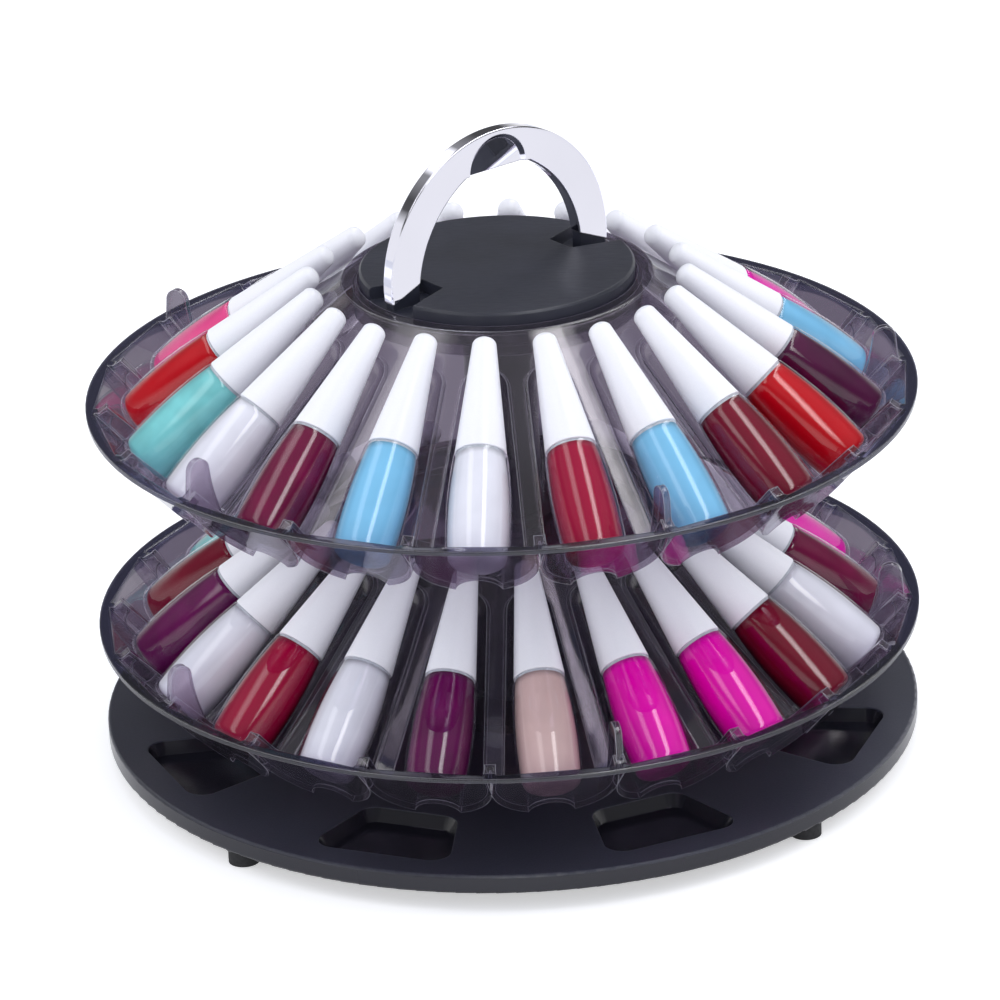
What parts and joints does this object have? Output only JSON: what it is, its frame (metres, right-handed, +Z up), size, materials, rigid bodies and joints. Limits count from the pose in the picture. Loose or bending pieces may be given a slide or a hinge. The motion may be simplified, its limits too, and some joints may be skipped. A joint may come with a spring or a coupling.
{
  "type": "nail polish display rack",
  "caption": "Round two-tier turning rack whose smoked clear trays hold nail polish bottles in sloping channels, over a disc base with sunk pockets, with a chrome carrying arch.",
  "frame": {"origin": "on the floor under the centre of the base", "axes": "+Z up along the turning axis, -Y to the front"},
  "size_m": [0.2952, 0.2952, 0.2308],
  "materials": {
    "base_plastic": "fine matte grain",
    "cap_plastic": "satin",
    "foot_rubber": "matte",
    "inner_plastic": "satin",
    "glide_plastic": "smooth",
    "steel": "zinc plated",
    "handle_chrome": "polished",
    "smoked_clear": "clear, smoke tinted, glossy",
    "polish_burgundy": "glossy",
    "polish_crimson": "glossy",
    "polish_dark_purple": "glossy",
    "polish_dark_red": "glossy",
    "polish_hot_pink": "glossy",
    "polish_light_blue": "glossy",
    "polish_nude": "glossy",
    "polish_pink": "glossy",
    "polish_plum": "glossy",
    "polish_red": "glossy",
    "polish_teal": "glossy",
    "polish_white": "glossy"
  },
  "bodies": {
    "stand": {"base_column": "inner_plastic", "base_plate": "base_plastic", "bottom_nut": "steel", "bottom_washer": "steel", "cap_nut": "steel", "handle": "handle_chrome", "handle_screws": "steel", "lower_bush": "glide_plastic", "lower_glide_washer": "glide_plastic", "middle_spacer": "inner_plastic", "rubber_feet": "foot_rubber", "tie_rod": "steel", "top_cap": "cap_plastic", "upper_bush": "glide_plastic", "upper_glide_washer": "glide_plastic"},
    "lower_tray": {"lower_tray": "smoked_clear"},
    "upper_tray": {"upper_tray": "smoked_clear"},
    "bottle_lower_01": {"bottle_lower_01": "polish_nude"},
    "bottle_lower_02": {"bottle_lower_02": "polish_hot_pink"},
    "bottle_lower_03": {"bottle_lower_03": "polish_hot_pink"},
    "bottle_lower_04": {"bottle_lower_04": "polish_dark_red"},
    "bottle_lower_05": {"bottle_lower_05": "polish_white"},
    "bottle_lower_06": {"bottle_lower_06": "polish_burgundy"},
    "bottle_lower_07": {"bottle_lower_07": "polish_hot_pink"},
    "bottle_lower_08": {"bottle_lower_08": "polish_red"},
    "bottle_lower_09": {"bottle_lower_09": "polish_nude"},
    "bottle_lower_10": {"bottle_lower_10": "polish_light_blue"},
    "bottle_lower_11": {"bottle_lower_11": "polish_plum"},
    "bottle_lower_12": {"bottle_lower_12": "polish_white"},
    "bottle_lower_13": {"bottle_lower_13": "polish_crimson"},
    "bottle_lower_14": {"bottle_lower_14": "polish_teal"},
    "bottle_lower_15": {"bottle_lower_15": "polish_dark_red"},
    "bottle_lower_16": {"bottle_lower_16": "polish_plum"},
    "bottle_lower_17": {"bottle_lower_17": "polish_white"},
    "bottle_lower_18": {"bottle_lower_18": "polish_crimson"},
    "bottle_lower_19": {"bottle_lower_19": "polish_white"},
    "bottle_lower_20": {"bottle_lower_20": "polish_plum"},
    "bottle_upper_01": {"bottle_upper_01": "polish_crimson"},
    "bottle_upper_02": {"bottle_upper_02": "polish_light_blue"},
    "bottle_upper_03": {"bottle_upper_03": "polish_dark_red"},
    "bottle_upper_04": {"bottle_upper_04": "polish_red"},
    "bottle_upper_05": {"bottle_upper_05": "polish_dark_purple"},
    "bottle_upper_06": {"bottle_upper_06": "polish_light_blue"},
    "bottle_upper_07": {"bottle_upper_07": "polish_hot_pink"},
    "bottle_upper_08": {"bottle_upper_08": "polish_red"},
    "bottle_upper_09": {"bottle_upper_09": "polish_white"},
    "bottle_upper_10": {"bottle_upper_10": "polish_plum"},
    "bottle_upper_11": {"bottle_upper_11": "polish_pink"},
    "bottle_upper_12": {"bottle_upper_12": "polish_crimson"},
    "bottle_upper_13": {"bottle_upper_13": "polish_teal"},
    "bottle_upper_14": {"bottle_upper_14": "polish_pink"},
    "bottle_upper_15": {"bottle_upper_15": "polish_red"},
    "bottle_upper_16": {"bottle_upper_16": "polish_teal"},
    "bottle_upper_17": {"bottle_upper_17": "polish_white"},
    "bottle_upper_18": {"bottle_upper_18": "polish_burgundy"},
    "bottle_upper_19": {"bottle_upper_19": "polish_light_blue"},
    "bottle_upper_20": {"bottle_upper_20": "polish_white"}
  },
  "joints": [
    {"name": "lower_tray_turn", "type": "hinge", "parent": "stand", "child": "lower_tray", "pos_m": [0, 0, 0], "axis": [0, 0, 1], "continuous": true},
    {"name": "upper_tray_turn", "type": "hinge", "parent": "stand", "child": "upper_tray", "pos_m": [0, 0, 0], "axis": [0, 0, 1], "continuous": true},
    {"name": "bottle_lower_01_lift", "type": "slide", "parent": "lower_tray", "child": "bottle_lower_01", "axis": [0.0625, -0.6491, 0.7581], "range_m": [0, 0.025]},
    {"name": "bottle_lower_02_lift", "type": "slide", "parent": "lower_tray", "child": "bottle_lower_02", "axis": [0.26, -0.598, 0.7581], "range_m": [0, 0.025]},
    {"name": "bottle_lower_03_lift", "type": "slide", "parent": "lower_tray", "child": "bottle_lower_03", "axis": [0.4321, -0.4884, 0.7581], "range_m": [0, 0.025]},
    {"name": "bottle_lower_04_lift", "type": "slide", "parent": "lower_tray", "child": "bottle_lower_04", "axis": [0.5619, -0.331, 0.7581], "range_m": [0, 0.025]},
    {"name": "bottle_lower_05_lift", "type": "slide", "parent": "lower_tray", "child": "bottle_lower_05", "axis": [0.6366, -0.1411, 0.7581], "range_m": [0, 0.025]},
    {"name": "bottle_lower_06_lift", "type": "slide", "parent": "lower_tray", "child": "bottle_lower_06", "axis": [0.6491, 0.0625, 0.7581], "range_m": [0, 0.025]},
    {"name": "bottle_lower_07_lift", "type": "slide", "parent": "lower_tray", "child": "bottle_lower_07", "axis": [0.598, 0.26, 0.7581], "range_m": [0, 0.025]},
    {"name": "bottle_lower_08_lift", "type": "slide", "parent": "lower_tray", "child": "bottle_lower_08", "axis": [0.4884, 0.4321, 0.7581], "range_m": [0, 0.025]},
    {"name": "bottle_lower_09_lift", "type": "slide", "parent": "lower_tray", "child": "bottle_lower_09", "axis": [0.331, 0.5619, 0.7581], "range_m": [0, 0.025]},
    {"name": "bottle_lower_10_lift", "type": "slide", "parent": "lower_tray", "child": "bottle_lower_10", "axis": [0.1411, 0.6366, 0.7581], "range_m": [0, 0.025]},
    {"name": "bottle_lower_11_lift", "type": "slide", "parent": "lower_tray", "child": "bottle_lower_11", "axis": [-0.0625, 0.6491, 0.7581], "range_m": [0, 0.025]},
    {"name": "bottle_lower_12_lift", "type": "slide", "parent": "lower_tray", "child": "bottle_lower_12", "axis": [-0.26, 0.598, 0.7581], "range_m": [0, 0.025]},
    {"name": "bottle_lower_13_lift", "type": "slide", "parent": "lower_tray", "child": "bottle_lower_13", "axis": [-0.4321, 0.4884, 0.7581], "range_m": [0, 0.025]},
    {"name": "bottle_lower_14_lift", "type": "slide", "parent": "lower_tray", "child": "bottle_lower_14", "axis": [-0.5619, 0.331, 0.7581], "range_m": [0, 0.025]},
    {"name": "bottle_lower_15_lift", "type": "slide", "parent": "lower_tray", "child": "bottle_lower_15", "axis": [-0.6366, 0.1411, 0.7581], "range_m": [0, 0.025]},
    {"name": "bottle_lower_16_lift", "type": "slide", "parent": "lower_tray", "child": "bottle_lower_16", "axis": [-0.6491, -0.0625, 0.7581], "range_m": [0, 0.025]},
    {"name": "bottle_lower_17_lift", "type": "slide", "parent": "lower_tray", "child": "bottle_lower_17", "axis": [-0.598, -0.26, 0.7581], "range_m": [0, 0.025]},
    {"name": "bottle_lower_18_lift", "type": "slide", "parent": "lower_tray", "child": "bottle_lower_18", "axis": [-0.4884, -0.4321, 0.7581], "range_m": [0, 0.025]},
    {"name": "bottle_lower_19_lift", "type": "slide", "parent": "lower_tray", "child": "bottle_lower_19", "axis": [-0.331, -0.5619, 0.7581], "range_m": [0, 0.025]},
    {"name": "bottle_lower_20_lift", "type": "slide", "parent": "lower_tray", "child": "bottle_lower_20", "axis": [-0.1411, -0.6366, 0.7581], "range_m": [0, 0.025]},
    {"name": "bottle_upper_01_lift", "type": "slide", "parent": "upper_tray", "child": "bottle_upper_01", "axis": [0.1511, -0.6343, 0.7581], "range_m": [0, 0.025]},
    {"name": "bottle_upper_02_lift", "type": "slide", "parent": "upper_tray", "child": "bottle_upper_02", "axis": [0.3398, -0.5566, 0.7581], "range_m": [0, 0.025]},
    {"name": "bottle_upper_03_lift", "type": "slide", "parent": "upper_tray", "child": "bottle_upper_03", "axis": [0.4951, -0.4244, 0.7581], "range_m": [0, 0.025]},
    {"name": "bottle_upper_04_lift", "type": "slide", "parent": "upper_tray", "child": "bottle_upper_04", "axis": [0.602, -0.2506, 0.7581], "range_m": [0, 0.025]},
    {"name": "bottle_upper_05_lift", "type": "slide", "parent": "upper_tray", "child": "bottle_upper_05", "axis": [0.65, -0.0523, 0.7581], "range_m": [0, 0.025]},
    {"name": "bottle_upper_06_lift", "type": "slide", "parent": "upper_tray", "child": "bottle_upper_06", "axis": [0.6343, 0.1511, 0.7581], "range_m": [0, 0.025]},
    {"name": "bottle_upper_07_lift", "type": "slide", "parent": "upper_tray", "child": "bottle_upper_07", "axis": [0.5566, 0.3398, 0.7581], "range_m": [0, 0.025]},
    {"name": "bottle_upper_08_lift", "type": "slide", "parent": "upper_tray", "child": "bottle_upper_08", "axis": [0.4244, 0.4951, 0.7581], "range_m": [0, 0.025]},
    {"name": "bottle_upper_09_lift", "type": "slide", "parent": "upper_tray", "child": "bottle_upper_09", "axis": [0.2506, 0.602, 0.7581], "range_m": [0, 0.025]},
    {"name": "bottle_upper_10_lift", "type": "slide", "parent": "upper_tray", "child": "bottle_upper_10", "axis": [0.0523, 0.65, 0.7581], "range_m": [0, 0.025]},
    {"name": "bottle_upper_11_lift", "type": "slide", "parent": "upper_tray", "child": "bottle_upper_11", "axis": [-0.1511, 0.6343, 0.7581], "range_m": [0, 0.025]},
    {"name": "bottle_upper_12_lift", "type": "slide", "parent": "upper_tray", "child": "bottle_upper_12", "axis": [-0.3398, 0.5566, 0.7581], "range_m": [0, 0.025]},
    {"name": "bottle_upper_13_lift", "type": "slide", "parent": "upper_tray", "child": "bottle_upper_13", "axis": [-0.4951, 0.4244, 0.7581], "range_m": [0, 0.025]},
    {"name": "bottle_upper_14_lift", "type": "slide", "parent": "upper_tray", "child": "bottle_upper_14", "axis": [-0.602, 0.2506, 0.7581], "range_m": [0, 0.025]},
    {"name": "bottle_upper_15_lift", "type": "slide", "parent": "upper_tray", "child": "bottle_upper_15", "axis": [-0.65, 0.0523, 0.7581], "range_m": [0, 0.025]},
    {"name": "bottle_upper_16_lift", "type": "slide", "parent": "upper_tray", "child": "bottle_upper_16", "axis": [-0.6343, -0.1511, 0.7581], "range_m": [0, 0.025]},
    {"name": "bottle_upper_17_lift", "type": "slide", "parent": "upper_tray", "child": "bottle_upper_17", "axis": [-0.5566, -0.3398, 0.7581], "range_m": [0, 0.025]},
    {"name": "bottle_upper_18_lift", "type": "slide", "parent": "upper_tray", "child": "bottle_upper_18", "axis": [-0.4244, -0.4951, 0.7581], "range_m": [0, 0.025]},
    {"name": "bottle_upper_19_lift", "type": "slide", "parent": "upper_tray", "child": "bottle_upper_19", "axis": [-0.2506, -0.602, 0.7581], "range_m": [0, 0.025]},
    {"name": "bottle_upper_20_lift", "type": "slide", "parent": "upper_tray", "child": "bottle_upper_20", "axis": [-0.0523, -0.65, 0.7581], "range_m": [0, 0.025]}
  ]
}
